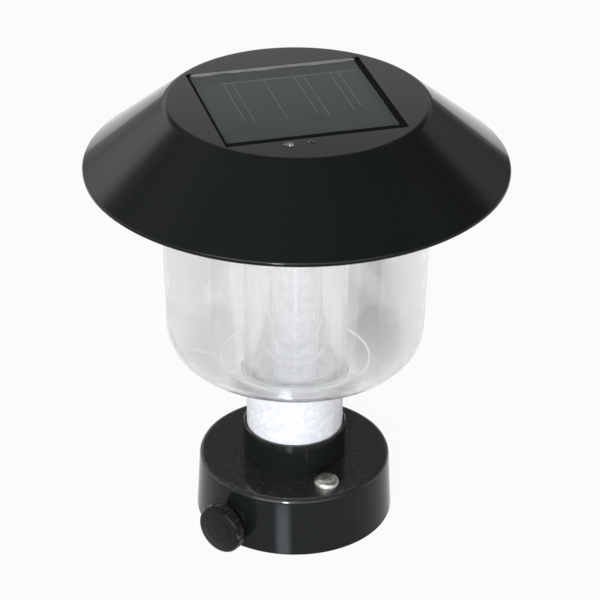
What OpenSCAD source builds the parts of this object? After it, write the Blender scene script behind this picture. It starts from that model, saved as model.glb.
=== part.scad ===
// Solar deck post cap light: a black cap that clamps on a round post, a white neck, a clear bowl with a
// ribbed diffuser inside, and a black roof that carries the solar panel, the cell and the lamp board.
// Millimetres, +Z up. The origin is the centre of the cap's lower rim, and -Y is the front.

/* [Base cap] */
// Radius of the round post that the cap sits on
post_r = 35; // [32:0.5:42]
// Gap all round between the post and its socket
post_gap = 0.3; // [0.1:0.05:0.45]
// Wall of the skirt at its foot
skirt_wall = 3.8; // [3.2:0.1:6]
// How much smaller the cap's radius is at its deck than at its foot
skirt_draft = 1.2; // [0.4:0.1:1.6]
// Height from the lower rim to the deck
base_h = 24.7; // [22.5:0.1:40]
// Thickness of the deck
deck_t = 2.8; // [2:0.1:4]
// Radius of the rounded edge of the deck
deck_round = 1.8; // [0.5:0.1:2.5]
// Width of the ledge that stops the post
ledge_w = 1.3; // [0.8:0.1:2]
// Height of the collar above the deck
collar_h = 13.4; // [6:0.1:25]
// Wall of the collar
collar_wall = 1.15; // [0.9:0.05:2.5]

/* [Neck] */
// Outer radius of the neck tube
neck_r = 19; // [15:0.5:22]
// Wall of the neck tube
neck_wall = 2.2; // [1.6:0.1:3]
// Height of the neck's top above the deck
neck_rise = 35; // [20:0.5:70]
// Thickness of the flange under the deck
flange_t = 5.4; // [4.5:0.1:7]
// Thickness of the seal between neck and bowl
neck_seal_t = 1.6; // [1:0.1:2.5]

/* [Base screws and post pad] */
// Radius of the screws' thread
base_screw_r = 2.5; // [2:0.25:3]
// Direction of the first screw, right of the front
base_screw_az = 25.5; // [10:0.5:60]
// Number of screws
base_screws_n = 2; // [2:1:4]
// Radius of a pan head
pan_head_r = 5; // [4:0.25:6]
// Height of a pan head
pan_head_h = 3.5; // [2.5:0.1:4]
// Wall of a threaded insert
insert_wall = 0.9; // [0.7:0.1:1.2]
// Thickness of the pad that meets the post
post_pad_t = 1.4; // [1:0.1:1.8]

/* [Post clamp] */
// Direction of the clamp, right of the front
clamp_az = -38; // [-60:1:-20]
// Height of the clamp's axis above the rim
clamp_z = 10.2; // [10.1:0.1:10.3]
// Radius of the knob
knob_r = 10; // [7.5:0.1:10.1]
// Width of the knob
knob_w = 5; // [4:0.1:8]
// Radius of the clamp screw's thread
clamp_screw_r = 2.5; // [2:0.25:2.5]
// Travel of the clamp screw
clamp_travel = 1.6; // [0.8:0.1:1.6]
// Radius of the boss on the skirt
boss_r = 6.5; // [6:0.1:7.5]
// How far the boss stands out of the skirt
boss_out = 1.2; // [1:0.1:3]

/* [Bowl] */
// Outer radius of the bowl where its corner begins
bowl_r = 50; // [42:0.5:50.5]
// Outer radius of the bowl's rim
rim_r = 51.3; // [51.3:0.1:54]
// Height from the bowl's seat on the neck to its rim
bowl_h = 89.3; // [75:0.5:120]
// Wall of the bowl
bowl_t = 2; // [1.5:0.1:2.5]
// Width of the rounded corner
corner_w = 9.7; // [6:0.1:14]
// Height of the rounded corner
corner_h = 13.2; // [8:0.1:16]
// Slope of the floor below the corner
floor_slope = 27; // [15:1:32]
// Length of the spigot inside the neck
spigot_l = 9; // [5:0.5:15]

/* [Diffuser and light pipe] */
// Radius over the diffuser's ribs
diffuser_r = 20.1; // [16:0.1:20.5]
// Number of ribs
diffuser_ribs = 60; // [36:4:72]
// Height of a rib
rib_h = 0.8; // [0.5:0.1:1.2]
// Wall of the diffuser behind the ribs
diffuser_t = 1.6; // [1.2:0.1:2.2]
// Radius of the light pipe
pipe_r = 8.7; // [7:0.1:9.5]
// Height of one prism step on the light pipe
prism_pitch = 5.8; // [4:0.1:8]
// Number of prism steps
prism_steps = 8; // [4:1:9]
// Depth of a prism step
prism_depth = 1.3; // [0.6:0.1:1.8]

/* [Bayonet and rim seal] */
// Thickness of the rim seal
rim_seal_t = 1.6; // [1.2:0.1:2.5]
// Gap between the rim and the head's collar
rim_gap = 0.45; // [0.35:0.05:0.6]
// How far a lug stands out of the rim
lug_out = 2; // [1.5:0.1:2.2]
// Height of a lug
lug_h = 2.4; // [1.8:0.1:3]
// Width of a lug
lug_angle = 12; // [8:1:16]
// Turn from locked to free
twist_angle = 20; // [15:1:30]
// Depth of the head's collar
head_collar_h = 12.6; // [11:0.1:16]
// Wall of the head's collar
head_collar_t = 3.85; // [3.6:0.05:5]

/* [Roof] */
// Radius of the brim
brim_r = 80; // [76:0.5:96]
// Height of the upright edge of the brim
brim_lip = 1.5; // [1:0.1:3]
// Radius of the flat top, to the line where it meets the cone
roof_top_r = 49.2; // [49:0.1:56]
// Height of the roof from the brim's lower edge to its flat top
roof_h = 26.4; // [26.4:0.1:40]
// Wall of the roof
roof_t = 2.2; // [1.8:0.1:2.4]
// Radius of the rounded edge of the flat top
roof_round = 3.5; // [1:0.1:5]
// How far the brim hangs below the tray
brim_drop = 1.6; // [1.5:0.1:4]

/* [Solar panel] */
// Width of the panel's pocket
panel_w = 68; // [56:0.5:68.5]
// Depth of the pocket from front to back
panel_d = 64.5; // [50:0.5:65]
// Turn of the pocket about the vertical
panel_turn = 15.6; // [0:0.1:20]
// Depth of the panel's face below the flat top
panel_sunk = 0.2; // [0:0.1:1.5]
// Gap all round between the panel and its pocket
panel_gap = 0.8; // [0.3:0.1:1.2]
// Thickness of the clear plate over the cells
glass_t = 1.8; // [1.2:0.1:2.5]
// Width of the plate's bevelled edge
bevel_w = 1.8; // [0.5:0.1:2.5]
// Number of cell strips
cell_strips = 5; // [3:1:8]
// Width of a silver ribbon on the cells
ribbon_w = 0.5; // [0.3:0.1:1]
// Width of the bar that joins the ribbons
bar_w = 1; // [0.6:0.1:2]
// Distance of the light sensor in front of the pocket
sensor_off = 3.4; // [3.4:0.1:4]
// Radius of the light sensor's window
sensor_r = 2.1; // [1.5:0.1:2.1]
// Radius of the indicator's lens
indicator_r = 1.4; // [1:0.1:2]

/* [Tray and screws] */
// Thickness of the tray
tray_t = 2; // [1.6:0.1:2.5]
// Radius of the ring of tray screws
tray_screw_ring = 62; // [60:0.5:64]
// Number of tray screws
tray_screws_n = 4; // [3:1:6]
// Radius of the tray screws' thread
tray_screw_r = 1.2; // [1:0.1:1.5]

/* [Cell] */
// Radius of the rechargeable cell
cell_r = 7.1; // [5:0.1:8.5]
// Length of the cell without its nub
cell_l = 49.2; // [42:0.1:49.5]
// Distance of the cell's axis behind the centre
cell_y = 22; // [21.5:0.1:23]
// Gap between the cell and its box
cell_gap = 0.6; // [0.3:0.1:0.6]
// Wall of the cell's box
box_wall = 1.4; // [1:0.1:1.6]

/* [Lamp board and switch] */
// Width of the board
board_w = 66; // [63:0.5:70]
// Depth of the board from front to back
board_d = 24; // [20:0.5:24]
// Thickness of the board
board_t = 1.6; // [1:0.2:1.6]
// Height of the board above the tray
board_rise = 3.8; // [3.5:0.1:4]
// Radius of a lamp
led_r = 2.5; // [1.5:0.1:2.5]
// Distance of each lamp from the centre
led_off = 3.9; // [3.6:0.1:4.2]
// Travel of the switch
switch_travel = 4; // [2:0.5:4]

/* [Hidden] */
$fn = 96;

// Clearances that several fits share
slip = 0.2;      // a part that drops into its seat
thread_gap = 0.05; // a screw in its thread, a push fit
eps = 0.01;      // extra length of a cut past a face

// Base cap and what stands in it
socket_r = post_r + post_gap;
foot_r = socket_r + skirt_wall;
deck_r = foot_r - skirt_draft;
deck_under = base_h - deck_t;
flange_seat_r = socket_r - ledge_w;
flange_r = flange_seat_r - slip;
flange_z = deck_under - flange_t;
pad_gap = 0.1;
post_depth = flange_z - post_pad_t - pad_gap;
collar_top = base_h + collar_h;
collar_gap = 0.15;
collar_bore = neck_r + collar_gap;
collar_r = collar_bore + collar_wall;
collar_chamfer = 0.3;
mouth_chamfer = 0.8;
boss_root = 1.2;
insert_r = base_screw_r + insert_wall;
insert_edge = 0.9;
screw_ring_r = flange_r - insert_r - insert_edge;
post_pad_setback = 3;
post_pad_in = neck_r + post_pad_setback;

// Neck and bowl
neck_in = neck_r - neck_wall;
neck_top = base_h + neck_rise;
seat_z = neck_top + neck_seal_t;
// The seat covers the neck's top, and the flat floor above it holds the diffuser
seat_edge = 1.5;
diffuser_edge = 0.4;
seat_r = max(neck_r + seat_edge, diffuser_r + diffuser_edge);
spigot_r = neck_in - slip;
spigot_wall = 2.2;
spigot_in = spigot_r - spigot_wall;
floor_t = 2.6;
diffuser_in = diffuser_r - rib_h - diffuser_t;
floor_z = seat_z + floor_t;
corner_end = atan2(corner_h, corner_w * tan(floor_slope));
corner_x = bowl_r - corner_w;
corner_end_r = corner_x + corner_w * cos(corner_end);
corner_z = seat_z + (corner_end_r - seat_r) * tan(floor_slope) + corner_h * sin(corner_end);
rim_z = seat_z + bowl_h;
rim_in = rim_r - bowl_t;
rim_band = 12;
seal_inset = 0.3;
guide_w = 1.2;
guide_gap = 0.3;
guide_h = 1.5;
reflector_t = 0.8;

// The inner corner is the outer one less the wall, and the floor's inner face follows the same slope
inner_w = corner_w - bowl_t;
inner_h = corner_h - bowl_t;
inner_end = atan2(inner_h, inner_w * tan(floor_slope));
inner_end_r = corner_x + inner_w * cos(inner_end);
inner_end_z = corner_z - inner_h * sin(inner_end);
floor_flat_r = inner_end_r - (inner_end_z - floor_z) / tan(floor_slope);

// Head: the tray rests on the rim seal, and the roof is screwed down on the tray
seal_lift = 0.1;
rim_seal_over = 0.1;
tray_z = rim_z + rim_seal_t + 2 * seal_lift;
tray_top = tray_z + tray_t;
brim_z = tray_z - brim_drop;
lip_z = brim_z + brim_lip;
roof_top = brim_z + roof_h;
roof_slope = atan2(roof_h - brim_lip, brim_r - roof_top_r);
roof_under = roof_top - roof_t;
inner_shift = roof_t / sin(roof_slope);
// Radius of the roof's inner cone at a height
function cone_in(z) = brim_r - inner_shift - (z - lip_z) / tan(roof_slope);
tray_edge_gap = 0.6;
tray_r = cone_in(tray_top) - tray_edge_gap;
collar_in = rim_r + rim_gap;
head_collar_r = collar_in + head_collar_t;
lugs_n = 3;
lug_below_rim = 7.4;
lug_z = rim_z - lug_below_rim;
lug_root = 0.5;
lug_slack_a = 1.5;
lug_slack_z = 0.3;

// Solar panel, from the pocket's floor up
panel_pos = [-0.9, 0];
panel_seal_t = 0.6;
panel_board_t = 1.2;
cell_t = 0.3;
ribbon_t = 0.15;
bevel_h = 0.8;
glass_z = roof_top - panel_sunk - glass_t;
glass_gap = 0.05;
ribbon_z = glass_z - glass_gap - ribbon_t;
solar_z = ribbon_z - cell_t;
panel_board_z = solar_z - panel_board_t;
pocket_z = panel_board_z - panel_seal_t;
pocket_floor_t = 2;
pocket_wall = 1.2;
pocket_under = pocket_z - pocket_floor_t;
cell_gap_w = 0.4;
cell_border = 1.2;
// The bar that joins the ribbons: its distance from the pocket's back edge, and its two ends. Each ribbon's
// place across the panel from its centre, and its length from the bar. All in shares of the pocket.
bar_back = 0.118;
bar_ends = [-0.324, 0.456];
ribbon_places = [
    [-0.309, 0.535], [-0.26, 0.535], [-0.082, 0.558], [0.096, 0.519],
    [0.149, 0.589], [0.299, 0.527], [0.35, 0.481]
];
sensor_x = -11.8;
window_foot = 0.4;
window_dome = 0.6;
lens_dome = 0.5;
sensor_h = 2;
sensor_gap = 0.2;
sensor_z = roof_under - window_foot - sensor_gap - sensor_h;
indicator_x = -3.6;
sensor_y = -panel_d / 2 - sensor_off;
lead_r = 0.6;
panel_lead_places = [[7, 4], [10.5, 4]];

// Light parts under the roof
board_y = -3.5;
box_in = cell_r + cell_gap;
contact_room = 3.9;
box_end = cell_l / 2 + contact_room;
box_roof_t = 1.6;
box_roof_gap = 4.8;
cell_roof_gap = 0.4;
cell_door_gap = 1.7;
box_top = pocket_under - box_roof_gap;
box_ceiling = box_top - box_roof_t;
cell_z = box_ceiling - cell_roof_gap - cell_r;
box_under = cell_z - cell_r - cell_door_gap;
contact_t = 0.4;
contact_gap = 0.1;
contact_x = box_end - contact_gap - contact_t;
cell_shift = 0.3;
cell_end = -cell_l / 2 - cell_shift;
nub_l = 1.3;
nub_r = 2.75;
door_t = 1.4;
door_rim = 1.2;
door_ear_r = 3;
door_ear_x = box_end + box_wall + door_ear_r + contact_gap;
door_screw_r = 1.1;
door_screw_l = 4.6;
tongue_half = 2.8;
board_front = board_y - board_d / 2;
board_back = board_y + board_d / 2;
pad_in = 2.5;
tab_h = 2;
board_z = tray_top + board_rise;
board_top = board_z + board_t;
led_leg_r = 0.25;
led_leg_off = 1.27;
led_tip = tray_z - 0.4;
led_flange_z = board_z - 0.9;
led_flange_h = 1;
led_flange_w = 0.4;
pipe_top = tray_z - 1.2;
pipe_foot = floor_z + 2.1;
pipe_bevel = 3;
pipe_bevel_w = 1.6;
groove_half = 1.1;
groove_depth = 1.8;
pipe_socket_h = 9.4;
pipe_socket_t = 2;
diffuser_under_door = 1.8;
diffuser_top = box_under - door_t - diffuser_under_door;
standoff_r = 2.3;
standoff_places = [[-29, -12], [29, -12], [-14, 5.5], [14, 5.5]];
board_screw_r = 0.95;
board_screw_head_r = 1.9;
board_screw_head_h = 1.2;
board_screw_off = 0.8;

// Switch, at the front of the tray outside the bowl
switch_pos = [12, -60];
slider_w = 3;
slider_d = 2.8;
slider_block_w = 4.8;
slider_block_d = 3.8;
slider_block_h = 3;
slider_foot = brim_z + slip;
switch_floor_t = 0.6;
switch_wall = 2.2;
switch_side = 1.2;
switch_roof_t = 1.2;
switch_cavity_w = slider_block_w + switch_travel + 2 * slip;
switch_cavity_d = slider_block_d + 2 * slip;
switch_cavity_h = slider_block_h + 2 * slip;
switch_slot_w = slider_w + switch_travel + 4 * slip;
switch_slot_d = slider_d + 2 * slip;
switch_h = switch_floor_t + switch_cavity_h + switch_roof_t;
switch_pin_r = 0.4;
switch_pin_h = 3;
switch_pin_step = 2;
switch_run_drop = 0.8;
switch_run_z = tray_top + switch_h + switch_pin_h - switch_run_drop;

// Clamp, along its own axis from the middle of the cap
clamp_pad_r = 4.3;
clamp_pad_t = 1.5;
clamp_pad_x = socket_r + slip;
pad_pocket_r = clamp_pad_r + 2 * slip;
pad_pocket_x = clamp_pad_x + clamp_pad_t + slip;
clamp_insert_wall = 1.5;
clamp_insert_r = clamp_screw_r + clamp_insert_wall;
skirt_at_clamp = foot_r - skirt_draft * clamp_z / base_h;
boss_x = skirt_at_clamp + boss_out;
hub_r = 5;
hub_gap = 0.4;
hub_l = 1.2;
hub_x = boss_x + clamp_travel + hub_gap;
knob_x = hub_x + hub_l;
knob_round = 1.8;
knob_dome = 0.8;
tip_r = 1.5;
tip_l = 0.8;
tip_gap = 0.1;
grip_cuts = 16;
grip_cut_r = 1.2;
grip_cut_depth = 0.35;

// Points along an arc of an ellipse
function arc(cx, cy, rx, ry, a1, a2, n = 10) =
    [for (i = [0 : n]) let (a = a1 + (a2 - a1) * i / n) [cx + rx * cos(a), cy + ry * sin(a)]];

// A full ring between two radii and two heights
module ring(r1, r2, z1, z2) {
    rotate_extrude()
        translate([r1, z1])
            square([r2 - r1, z2 - z1]);
}

// A ring's stretch between two angles
module ring_piece(r1, r2, z1, z2, a1, a2) {
    rotate([0, 0, a1])
        rotate_extrude(angle = a2 - a1)
            translate([r1, z1])
                square([r2 - r1, z2 - z1]);
}

// A box given by its lowest and highest corner
module box(low, high) {
    translate(low)
        cube(high - low);
}

// A cross recess cut up into a screw head from its lower face
module cross_cut(l, w, depth) {
    for (turn = [0, 90])
        rotate([0, 0, turn])
            translate([-l / 2, -w / 2, -eps])
                cube([l, w, depth]);
}

// Places its children at a direction right of the front, with +X pointing outwards
module toward(az) {
    rotate([0, 0, az - 90])
        children();
}

// A rod along the clamp's axis between two distances from the middle
module clamp_rod(r, x1, x2) {
    toward(clamp_az)
        translate([x1, 0, clamp_z])
            rotate([0, 90, 0])
                cylinder(r = r, h = x2 - x1);
}

// Places its children in the panel's own axes
module on_panel() {
    translate([panel_pos[0], panel_pos[1], 0])
        rotate([0, 0, panel_turn])
            children();
}

// A flat plate centred on the panel
module panel_plate(w, d, z1, z2) {
    on_panel()
        translate([-w / 2, -d / 2, z1])
            cube([w, d, z2 - z1]);
}

// A lead in a plane along +Y: down from the top, along the run, and down to its end
module lead(x, y1, y2, z_top, z_run, z_end, r, bend) {
    translate([x, y1, z_run + bend])
        cylinder(r = r, h = z_top - z_run - bend);
    translate([x, y1 + bend, z_run + bend])
        rotate([90, 0, 90])
            rotate([0, 0, 180])
                rotate_extrude(angle = 90)
                    translate([bend, 0])
                        circle(r = r);
    translate([x, y1 + bend, z_run])
        rotate([-90, 0, 0])
            cylinder(r = r, h = y2 - y1 - 2 * bend);
    lead_end(x, y2, z_run, z_end, r, bend);
}

// The end of a lead: it turns down from its run to the board
module lead_end(x, y2, z_run, z_end, r, bend) {
    translate([x, y2 - bend, z_run - bend])
        rotate([90, 0, 90])
            rotate_extrude(angle = 90)
                translate([bend, 0])
                    circle(r = r);
    translate([x, y2, z_end])
        cylinder(r = r, h = z_run - bend - z_end);
}

// ---- Base cap, neck and what fastens them ----

// The cap is one moulding: skirt, deck, collar, stop ledge and the clamp's boss
module base_cap() {
    color([0.03, 0.035, 0.035])
        difference() {
            union() {
                rotate_extrude()
                    polygon(concat(
                        [[flange_seat_r, post_depth], [socket_r, post_depth]],
                        [[socket_r, mouth_chamfer], [socket_r + mouth_chamfer, 0], [foot_r, 0]],
                        arc(deck_r - deck_round, base_h - deck_round, deck_round, deck_round, 0, 90, 6),
                        [[collar_r, base_h], [collar_r, collar_top - collar_chamfer]],
                        [[collar_r - collar_chamfer, collar_top], [collar_bore, collar_top]],
                        [[collar_bore, deck_under]],
                        [[flange_seat_r, deck_under]]
                    ));
                clamp_rod(boss_r, socket_r + boss_root, boss_x);
            }
            clamp_rod(pad_pocket_r, flange_seat_r - slip, pad_pocket_x);
            clamp_rod(clamp_insert_r, pad_pocket_x - eps, boss_x + eps);
            for (i = [0 : base_screws_n - 1])
                toward(base_screw_az + i * 360 / base_screws_n)
                    translate([screw_ring_r, 0, deck_under - eps])
                        cylinder(r = base_screw_r + slip, h = deck_t + 2 * eps);
        }
}

// Stainless pan-head screws with a cross recess, driven down through the deck
module base_screws() {
    crown_r = pan_head_r * 0.45;
    crown_h = pan_head_h * 0.65;
    recess_w = pan_head_r * 0.28;
    recess_l = pan_head_r * 1.1;
    recess_d = pan_head_h * 0.5;
    recess_turn = 20;
    color([0.75, 0.75, 0.74])
        for (i = [0 : base_screws_n - 1])
            toward(base_screw_az + i * 360 / base_screws_n)
                translate([screw_ring_r, 0, base_h])
                    difference() {
                        union() {
                            rotate_extrude()
                                polygon(concat(
                                    [[0, 0], [pan_head_r, 0]],
                                    arc(pan_head_r - crown_r, pan_head_h - crown_h,
                                        crown_r, crown_h, 0, 90, 8),
                                    [[0, pan_head_h]]
                                ));
                            translate([0, 0, slip - deck_t - flange_t])
                                cylinder(r = base_screw_r, h = deck_t + flange_t - slip);
                        }
                        for (turn = [recess_turn, recess_turn + 90])
                            rotate([0, 0, turn])
                                translate([-recess_l / 2, -recess_w / 2, pan_head_h - recess_d])
                                    cube([recess_l, recess_w, recess_d + eps]);
                    }
}

// Brass inserts pressed into the neck's flange
module flange_inserts() {
    color([0.8, 0.65, 0.3])
        for (i = [0 : base_screws_n - 1])
            toward(base_screw_az + i * 360 / base_screws_n)
                translate([screw_ring_r, 0, 0])
                    ring(base_screw_r + thread_gap, insert_r, flange_z, deck_under);
}

// Soft pad that the end of the post meets
module post_pad() {
    color([0.12, 0.12, 0.12])
        ring(post_pad_in, flange_r, flange_z - post_pad_t, flange_z);
}

// White tube with a flange that lies under the deck
module neck_tube() {
    color([0.93, 0.93, 0.92])
        difference() {
            rotate_extrude()
                polygon([
                    [neck_in, flange_z], [flange_r, flange_z], [flange_r, deck_under],
                    [neck_r, deck_under], [neck_r, neck_top], [neck_in, neck_top]
                ]);
            for (i = [0 : base_screws_n - 1])
                toward(base_screw_az + i * 360 / base_screws_n)
                    translate([screw_ring_r, 0, flange_z - eps])
                        cylinder(r = insert_r, h = flange_t + 2 * eps);
        }
}

// Rubber ring between the neck's top and the bowl's seat
module neck_seal() {
    color([0.25, 0.25, 0.25])
        ring(spigot_r + seal_inset, seat_r - slip, neck_top, seat_z);
}

// ---- Post clamp ----

// Threaded brass insert in the boss
module clamp_insert() {
    color([0.8, 0.65, 0.3])
        difference() {
            clamp_rod(clamp_insert_r, pad_pocket_x, boss_x);
            clamp_rod(clamp_screw_r + thread_gap, pad_pocket_x - eps, boss_x + eps);
        }
}

// Round pad on the screw's tip, which presses on the post and doesn't turn
module clamp_pad() {
    color([0.1, 0.1, 0.1])
        difference() {
            clamp_rod(clamp_pad_r, clamp_pad_x, clamp_pad_x + clamp_pad_t);
            clamp_rod(tip_r + tip_gap, clamp_pad_x + clamp_pad_t - tip_l, clamp_pad_x + clamp_pad_t + eps);
        }
}

// Steel screw: the tip in the pad, the thread in the insert, the head end in the knob
module clamp_screw() {
    shank_x = clamp_pad_x + clamp_pad_t + tip_gap;
    color([0.7, 0.7, 0.7]) {
        clamp_rod(tip_r, shank_x - tip_l, shank_x);
        clamp_rod(clamp_screw_r, shank_x, knob_x + knob_w / 2);
    }
}

// Black knob with a rounded rim and shallow grip cuts
module clamp_knob() {
    color([0.04, 0.04, 0.04])
        toward(clamp_az)
            translate([0, 0, clamp_z])
                rotate([0, 90, 0])
                    difference() {
                        rotate_extrude()
                            polygon(concat(
                                [[0, hub_x], [hub_r, hub_x], [hub_r, knob_x]],
                                arc(knob_r - knob_round / 2, knob_x + knob_round / 2,
                                    knob_round / 2, knob_round / 2, -90, 0, 4),
                                arc(knob_r - knob_round, knob_x + knob_w - knob_round,
                                    knob_round, knob_round, 0, 70, 6),
                                [[knob_r * 0.5, knob_x + knob_w + knob_dome * 0.7]],
                                [[0, knob_x + knob_w + knob_dome]]
                            ));
                        translate([0, 0, hub_x - eps])
                            cylinder(r = clamp_screw_r, h = knob_x + knob_w / 2 - hub_x + 2 * eps);
                        for (i = [0 : grip_cuts - 1])
                            rotate([0, 0, i * 360 / grip_cuts])
                                translate([knob_r + grip_cut_r - grip_cut_depth, 0, knob_x - eps])
                                    cylinder(r = grip_cut_r, h = knob_w + knob_dome);
                    }
}

// ---- Bowl, diffuser and rim seal ----

// Clear bowl: spigot, floor, rounded corner, tapered wall, upright rim and three lugs round it
module lens_bowl() {
    color([0.85, 0.88, 0.88, 0.35])
        union() {
            rotate_extrude()
                polygon(concat(
                    [[rim_in, rim_z], [rim_r, rim_z], [rim_r, rim_z - rim_band]],
                    arc(corner_x, corner_z, corner_w, corner_h, 0, -corner_end, 14),
                    [[seat_r, seat_z], [spigot_r, seat_z], [spigot_r, seat_z - spigot_l]],
                    [[spigot_in, seat_z - spigot_l], [spigot_in, seat_z], [0, seat_z]],
                    [[0, floor_z], [floor_flat_r, floor_z]],
                    arc(corner_x, corner_z, inner_w, inner_h, -inner_end, 0, 14),
                    [[rim_in, rim_z - rim_band]]
                ));
            for (i = [0 : lugs_n - 1])
                ring_piece(rim_r - lug_root, rim_r + lug_out, lug_z, lug_z + lug_h,
                    i * 360 / lugs_n - lug_angle / 2, i * 360 / lugs_n + lug_angle / 2);
            // Low ring that centres the diffuser
            ring(diffuser_in - guide_gap - guide_w, diffuser_in - guide_gap,
                floor_z - eps, floor_z + guide_h);
        }
}

// Ribbed tube round the light pipe
module diffuser_tube() {
    color([0.9, 0.9, 0.92, 0.5])
        translate([0, 0, floor_z])
            linear_extrude(height = diffuser_top - floor_z)
                difference() {
                    polygon([for (i = [0 : 2 * diffuser_ribs - 1])
                        let (r = i % 2 == 0 ? diffuser_r : diffuser_r - rib_h, a = i * 180 / diffuser_ribs)
                        [r * cos(a), r * sin(a)]]);
                    circle(r = diffuser_in);
                }
}

// White disc on the bowl's floor under the light pipe, inside the ring that centres the diffuser
module foot_reflector() {
    color([0.93, 0.93, 0.92])
        translate([0, 0, floor_z])
            cylinder(r = diffuser_in - guide_gap - guide_w - slip, h = reflector_t);
}

// Rubber ring on the rim, which the head turns on
module rim_seal() {
    color([0.2, 0.2, 0.2])
        ring(rim_in - slip, rim_r + rim_seal_over, rim_z + seal_lift, rim_z + seal_lift + rim_seal_t);
}

// ---- Roof and solar panel ----

// The roof's outer form as one solid
module roof_solid() {
    flat_r = roof_top_r - roof_round * tan(roof_slope / 2);
    lip_round = 1;
    lip_cut = lip_round * tan((90 - roof_slope) / 2);
    edge = 0.4;
    rotate_extrude()
        polygon(concat(
            [[0, brim_z], [brim_r - edge, brim_z], [brim_r, brim_z + edge]],
            arc(brim_r - lip_round, lip_z - lip_cut, lip_round, lip_round, 0, 90 - roof_slope, 5),
            arc(flat_r, roof_top - roof_round, roof_round, roof_round, 90 - roof_slope, 90, 8),
            [[0, roof_top]]
        ));
}

// The hollow under the roof
module roof_hollow() {
    rim_wall = 1.8;
    rotate_extrude()
        polygon([
            [0, brim_z - 1], [brim_r - rim_wall, brim_z - 1],
            [brim_r - rim_wall, lip_z - (inner_shift - rim_wall) * tan(roof_slope)],
            [cone_in(roof_under), roof_under], [0, roof_under]
        ]);
}

// Black roof: cone, brim, sunk pocket for the panel, screw bosses and two small holes in front of the pocket
module roof_shell() {
    boss = tray_screw_r + 2.2;
    screw_hole_l = 9;
    color([0.03, 0.035, 0.035])
        difference() {
            union() {
                difference() {
                    roof_solid();
                    roof_hollow();
                }
                panel_plate(panel_w + 2 * pocket_wall, panel_d + 2 * pocket_wall,
                    pocket_under, roof_under + eps);
                intersection() {
                    roof_solid();
                    for (i = [0 : tray_screws_n - 1])
                        rotate([0, 0, 45 + i * 360 / tray_screws_n])
                            translate([tray_screw_ring, 0, tray_top])
                                cylinder(r = boss, h = roof_h);
                }
            }
            panel_plate(panel_w, panel_d, pocket_z, roof_top + eps);
            for (p = panel_lead_places)
                translate([p[0], p[1], pocket_under - eps])
                    cylinder(r = lead_r + slip, h = pocket_floor_t + 2 * eps);
            for (i = [0 : tray_screws_n - 1])
                rotate([0, 0, 45 + i * 360 / tray_screws_n])
                    translate([tray_screw_ring, 0, tray_top - eps])
                        cylinder(r = tray_screw_r + thread_gap, h = screw_hole_l);
            on_panel() {
                translate([sensor_x, sensor_y, roof_under - eps])
                    cylinder(r = sensor_r + thread_gap, h = roof_t + 2 * eps);
                translate([indicator_x, sensor_y, roof_under - eps])
                    cylinder(r = indicator_r + thread_gap, h = roof_t + 2 * eps);
            }
        }
}

// Foam frame under the panel
module panel_seal() {
    frame_w = 3.5;
    color([0.15, 0.15, 0.15])
        difference() {
            panel_plate(panel_w - 2 * panel_gap, panel_d - 2 * panel_gap, pocket_z, panel_board_z);
            panel_plate(panel_w - 2 * panel_gap - 2 * frame_w, panel_d - 2 * panel_gap - 2 * frame_w,
                pocket_z - eps, panel_board_z + eps);
        }
}

// Backing board of the panel
module panel_board() {
    color([0.1, 0.12, 0.12])
        panel_plate(panel_w - 2 * panel_gap, panel_d - 2 * panel_gap, panel_board_z, solar_z);
}

// Cell strips side by side, running front to back
module solar_cells() {
    field_w = panel_w - 2 * panel_gap - 2 * cell_border;
    field_d = panel_d - 2 * panel_gap - 2 * cell_border;
    step = field_w / cell_strips;
    color([0.06, 0.07, 0.08])
        on_panel()
            for (i = [0 : cell_strips - 1])
                translate([-field_w / 2 + i * step + cell_gap_w / 2, -field_d / 2, solar_z])
                    cube([step - cell_gap_w, field_d, cell_t]);
}

// Silver ribbons that collect the current: a bar near the back edge, and ribbons from it forwards
module cell_ribbons() {
    bar_y = panel_d * (0.5 - bar_back);
    color([0.75, 0.77, 0.78])
        on_panel() {
            translate([bar_ends[0] * panel_w, bar_y, ribbon_z])
                cube([(bar_ends[1] - bar_ends[0]) * panel_w, bar_w, ribbon_t]);
            for (p = ribbon_places)
                translate([p[0] * panel_w - ribbon_w / 2, bar_y - p[1] * panel_d, ribbon_z])
                    cube([ribbon_w, p[1] * panel_d + eps, ribbon_t]);
        }
}

// Clear plate over the cells, with a bevel round its top
module panel_glass() {
    w = panel_w / 2 - panel_gap;
    d = panel_d / 2 - panel_gap;
    edge_z = glass_z + glass_t - bevel_h;
    face_z = glass_z + glass_t;
    color([0.5, 0.55, 0.55, 0.3])
        on_panel()
            polyhedron(
                points = [
                    [-w, -d, glass_z], [w, -d, glass_z], [w, d, glass_z], [-w, d, glass_z],
                    [-w, -d, edge_z], [w, -d, edge_z], [w, d, edge_z], [-w, d, edge_z],
                    [bevel_w - w, bevel_w - d, face_z], [w - bevel_w, bevel_w - d, face_z],
                    [w - bevel_w, d - bevel_w, face_z], [bevel_w - w, d - bevel_w, face_z]
                ],
                faces = [
                    [0, 1, 2, 3], [4, 5, 1, 0], [5, 6, 2, 1], [6, 7, 3, 2], [7, 4, 0, 3],
                    [8, 9, 5, 4], [9, 10, 6, 5], [10, 11, 7, 6], [11, 8, 4, 7], [11, 10, 9, 8]
                ]
            );
}

// Two leads from the panel straight down to the board
module panel_leads() {
    color([0.7, 0.1, 0.1])
        for (p = panel_lead_places)
            translate([p[0], p[1], board_top])
                cylinder(r = lead_r, h = panel_board_z - board_top);
}

// Clear window over the light sensor
module sensor_window() {
    color([0.75, 0.75, 0.7, 0.6])
        on_panel()
            translate([sensor_x, sensor_y, roof_under - window_foot])
                rotate_extrude()
                    polygon(concat(
                        [[0, 0], [sensor_r, 0]],
                        arc(0, roof_t + window_foot, sensor_r, window_dome, 0, 90, 8)
                    ));
}

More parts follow.
